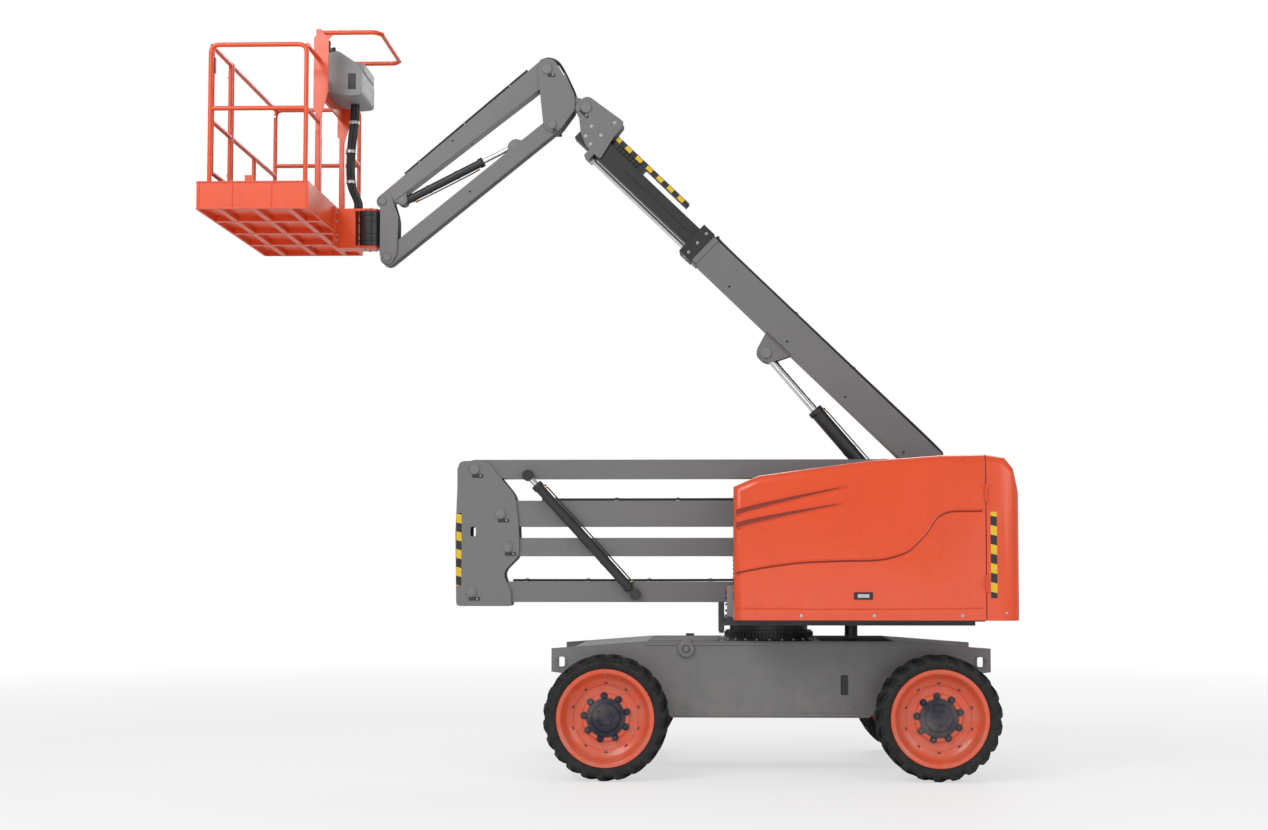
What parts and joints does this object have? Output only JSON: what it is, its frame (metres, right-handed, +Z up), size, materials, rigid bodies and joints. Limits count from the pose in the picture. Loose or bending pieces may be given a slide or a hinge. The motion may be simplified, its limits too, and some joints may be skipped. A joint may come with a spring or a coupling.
{
  "type": "articulating boom lift",
  "caption": "Articulating boom lift: four-wheel steered chassis, slewing turret, folding riser, telescopic boom, jib and railed work platform, all jointed.",
  "frame": {"origin": "on the ground, under the middle of the whole machine as posed, from the platform's outer end to the tail", "axes": "-X towards the platform end, +X towards the counterweight and the steered axle, -Y the machine's right side as seen in the picture, +Z up"},
  "size_m": [5.7708, 2.3, 5.4163],
  "materials": {
    "orange": "gloss",
    "grey": "satin",
    "black": "satin",
    "tyre": "matt",
    "iron": "matt",
    "chrome": "polished",
    "plastic": "matt",
    "hose": "matt"
  },
  "bodies": {
    "chassis": {"chassis_frame": "grey", "slew_ring": "black", "drive_axle": "iron", "steer_axle": "iron"},
    "wheel_drive_right": {"tyre_drive_right": "tyre", "rim_drive_right": "orange"},
    "wheel_drive_left": {"tyre_drive_left": "tyre", "rim_drive_left": "orange"},
    "knuckle_right": {"steer_knuckle_right": "iron"},
    "knuckle_left": {"steer_knuckle_left": "iron"},
    "tie_rod": {"tie_rod": "iron"},
    "wheel_steer_right": {"tyre_steer_right": "tyre", "rim_steer_right": "orange"},
    "wheel_steer_left": {"tyre_steer_left": "tyre", "rim_steer_left": "orange"},
    "turret": {"turret_frame": "black", "turntable_lock": "grey", "counterweight": "orange", "engine_block": "iron", "tank_block": "black"},
    "hood_right": {"hood_right": "orange"},
    "hood_left": {"hood_left": "orange"},
    "lower_arm": {"riser_lower_arm": "grey"},
    "lower_link": {"riser_lower_link": "grey"},
    "mid_upright": {"riser_mid_upright": "grey"},
    "upper_arm": {"riser_upper_arm": "grey"},
    "upper_link": {"riser_upper_link": "grey"},
    "upper_upright": {"riser_upper_upright": "grey"},
    "riser_barrel": {"riser_cylinder_barrel": "black"},
    "riser_rod": {"riser_cylinder_rod": "chrome"},
    "boom_base": {"boom_base": "grey", "boom_mouth_collar": "black"},
    "boom_fly": {"boom_fly": "black", "extension_rod": "chrome", "hose_tray": "black", "boom_nose": "grey"},
    "lift_barrel": {"lift_cylinder_barrel": "black"},
    "lift_rod": {"lift_cylinder_rod": "chrome"},
    "jib_knuckle": {"jib_knuckle": "grey"},
    "jib_arm": {"jib_arm": "grey"},
    "jib_link": {"jib_link": "grey"},
    "jib_barrel": {"jib_cylinder_barrel": "black"},
    "jib_rod": {"jib_cylinder_rod": "chrome"},
    "platform_bracket": {"platform_bracket": "grey", "platform_rotator": "black"},
    "platform": {"platform_tray": "orange", "rails_right": "orange", "rails_left": "orange", "rails_front": "orange", "console_frame": "orange", "platform_console": "plastic", "platform_yoke": "orange", "hose_bundle": "hose"},
    "gate": {"platform_gate": "orange"}
  },
  "joints": [
    {"name": "wheel_drive_right_spin", "type": "hinge", "parent": "chassis", "child": "wheel_drive_right", "pos_m": [0.04544, -0.9925, 0.43], "axis": [0, 1, 0], "continuous": true},
    {"name": "wheel_drive_left_spin", "type": "hinge", "parent": "chassis", "child": "wheel_drive_left", "pos_m": [0.04544, 0.9925, 0.43], "axis": [0, 1, 0], "continuous": true},
    {"name": "steer_right", "type": "hinge", "parent": "chassis", "child": "knuckle_right", "pos_m": [2.32544, -0.76, 0.43], "axis": [0, 0, 1], "range_deg": [-30, 30]},
    {"name": "steer_left", "type": "hinge", "parent": "chassis", "child": "knuckle_left", "pos_m": [2.32544, 0.76, 0.43], "axis": [0, 0, 1], "range_deg": [-30, 30]},
    {"name": "tie_rod_pivot", "type": "hinge", "parent": "knuckle_right", "child": "tie_rod", "pos_m": [2.51544, -0.76, 0.43], "axis": [0, 0, 1], "range_deg": [-30, 30]},
    {"name": "wheel_steer_right_spin", "type": "hinge", "parent": "knuckle_right", "child": "wheel_steer_right", "pos_m": [2.32544, -0.9925, 0.43], "axis": [0, 1, 0], "continuous": true},
    {"name": "wheel_steer_left_spin", "type": "hinge", "parent": "knuckle_left", "child": "wheel_steer_left", "pos_m": [2.32544, 0.9925, 0.43], "axis": [0, 1, 0], "continuous": true},
    {"name": "turret_swing", "type": "hinge", "parent": "chassis", "child": "turret", "pos_m": [1.18544, 0, 0.934], "axis": [0, 0, 1], "range_deg": [-177, 177]},
    {"name": "hood_right_hinge", "type": "hinge", "parent": "turret", "child": "hood_right", "pos_m": [2.65044, -1.109, 1.64], "axis": [0, 0, 1], "range_deg": [0, 95]},
    {"name": "hood_left_hinge", "type": "hinge", "parent": "turret", "child": "hood_left", "pos_m": [2.65044, 1.109, 1.64], "axis": [0, 0, -1], "range_deg": [0, 95]},
    {"name": "riser_lift", "type": "hinge", "parent": "turret", "child": "lower_arm", "pos_m": [2.00544, -0.25, 1.284], "axis": [0, 1, 0], "range_deg": [0, 45]},
    {"name": "lower_link_pivot", "type": "hinge", "parent": "turret", "child": "lower_link", "pos_m": [2.26844, -0.25, 1.612], "axis": [0, 1, 0], "range_deg": [0, 45]},
    {"name": "mid_upright_pivot", "type": "hinge", "parent": "lower_arm", "child": "mid_upright", "pos_m": [-0.99456, -0.25, 1.284], "axis": [0, 1, 0], "range_deg": [-45, 0]},
    {"name": "upper_arm_pivot", "type": "hinge", "parent": "mid_upright", "child": "upper_arm", "pos_m": [-0.78356, -0.25, 1.857], "axis": [0, 1, 0], "range_deg": [-45, 0]},
    {"name": "upper_link_pivot", "type": "hinge", "parent": "mid_upright", "child": "upper_link", "pos_m": [-0.97656, -0.25, 2.184], "axis": [0, 1, 0], "range_deg": [-45, 0]},
    {"name": "upper_upright_pivot", "type": "hinge", "parent": "upper_arm", "child": "upper_upright", "pos_m": [2.21644, -0.25, 1.857], "axis": [0, 1, 0], "range_deg": [0, 45]},
    {"name": "riser_cylinder_pivot", "type": "hinge", "parent": "lower_arm", "child": "riser_barrel", "pos_m": [0.21044, -0.385, 1.264], "axis": [0, 1, 0], "range_deg": [-15.83, 0]},
    {"name": "riser_cylinder_stroke", "type": "slide", "parent": "riser_barrel", "child": "riser_rod", "axis": [-0.6708, 0, 0.7416], "range_m": [0, 0.931]},
    {"name": "main_boom_lift", "type": "hinge", "parent": "upper_upright", "child": "boom_base", "pos_m": [2.45544, 0, 2.16], "axis": [0, 1, 0], "range_deg": [-44, 31]},
    {"name": "boom_extension", "type": "slide", "parent": "boom_base", "child": "boom_fly", "axis": [-0.7193, 0, 0.6947], "range_m": [-0.6, 0.75]},
    {"name": "lift_cylinder_pivot", "type": "hinge", "parent": "upper_upright", "child": "lift_barrel", "pos_m": [2.30244, 0, 1.75], "axis": [0, 1, 0], "range_deg": [-40.8, 28.89]},
    {"name": "lift_cylinder_stroke", "type": "slide", "parent": "lift_barrel", "child": "lift_rod", "axis": [-0.6506, 0, 0.7595], "range_m": [-0.2678, 0.189]},
    {"name": "boom_levelling", "type": "hinge", "parent": "boom_fly", "child": "jib_knuckle", "pos_m": [-0.18501, 0, 4.93923], "axis": [0, 1, 0], "range_deg": [-31, 44]},
    {"name": "jib_lift", "type": "hinge", "parent": "jib_knuckle", "child": "jib_arm", "pos_m": [-0.48301, 0, 5.24023], "axis": [0, 1, 0], "range_deg": [-31, 50]},
    {"name": "jib_link_pivot", "type": "hinge", "parent": "jib_knuckle", "child": "jib_link", "pos_m": [-0.44301, 0, 4.81023], "axis": [0, 1, 0], "range_deg": [-31, 50]},
    {"name": "jib_cylinder_pivot", "type": "hinge", "parent": "jib_arm", "child": "jib_barrel", "pos_m": [-1.57781, 0, 4.24045], "axis": [0, 1, 0], "range_deg": [-2.76, 4.15]},
    {"name": "jib_cylinder_stroke", "type": "slide", "parent": "jib_barrel", "child": "jib_rod", "axis": [0.8913, 0, 0.4534], "range_m": [-0.2005, 0.3228]},
    {"name": "platform_levelling", "type": "hinge", "parent": "jib_arm", "child": "platform_bracket", "pos_m": [-1.72644, 0, 4.23332], "axis": [0, 1, 0], "range_deg": [-50, 31]},
    {"name": "platform_rotate", "type": "hinge", "parent": "platform_bracket", "child": "platform", "pos_m": [-1.83044, 0, 4.05], "axis": [0, 0, 1], "range_deg": [-90, 90]},
    {"name": "gate_hinge", "type": "hinge", "parent": "platform", "child": "gate", "pos_m": [-2.80544, -0.35, 4.6], "axis": [0, 0, 1], "range_deg": [0, 85]}
  ],
  "couplings": [
    {"joint": "steer_left", "follows": "steer_right", "ratio": 1},
    {"joint": "tie_rod_pivot", "follows": "steer_right", "ratio": -1},
    {"joint": "lower_link_pivot", "follows": "riser_lift", "ratio": 1},
    {"joint": "mid_upright_pivot", "follows": "riser_lift", "ratio": -1},
    {"joint": "upper_arm_pivot", "follows": "riser_lift", "ratio": -1},
    {"joint": "upper_link_pivot", "follows": "riser_lift", "ratio": -1},
    {"joint": "upper_upright_pivot", "follows": "riser_lift", "ratio": 1},
    {"joint": "riser_cylinder_pivot", "follows": "riser_lift", "ratio": -0.3406},
    {"joint": "riser_cylinder_stroke", "follows": "riser_lift", "m_per_rad": 1.1841},
    {"joint": "lift_cylinder_pivot", "follows": "main_boom_lift", "ratio": 0.9159},
    {"joint": "lift_cylinder_stroke", "follows": "main_boom_lift", "m_per_rad": 0.3474},
    {"joint": "boom_levelling", "follows": "main_boom_lift", "ratio": -1},
    {"joint": "jib_link_pivot", "follows": "jib_lift", "ratio": 1},
    {"joint": "jib_cylinder_pivot", "follows": "jib_lift", "ratio": 0.073},
    {"joint": "jib_cylinder_stroke", "follows": "jib_lift", "m_per_rad": 0.3688},
    {"joint": "platform_levelling", "follows": "jib_lift", "ratio": -1}
  ]
}
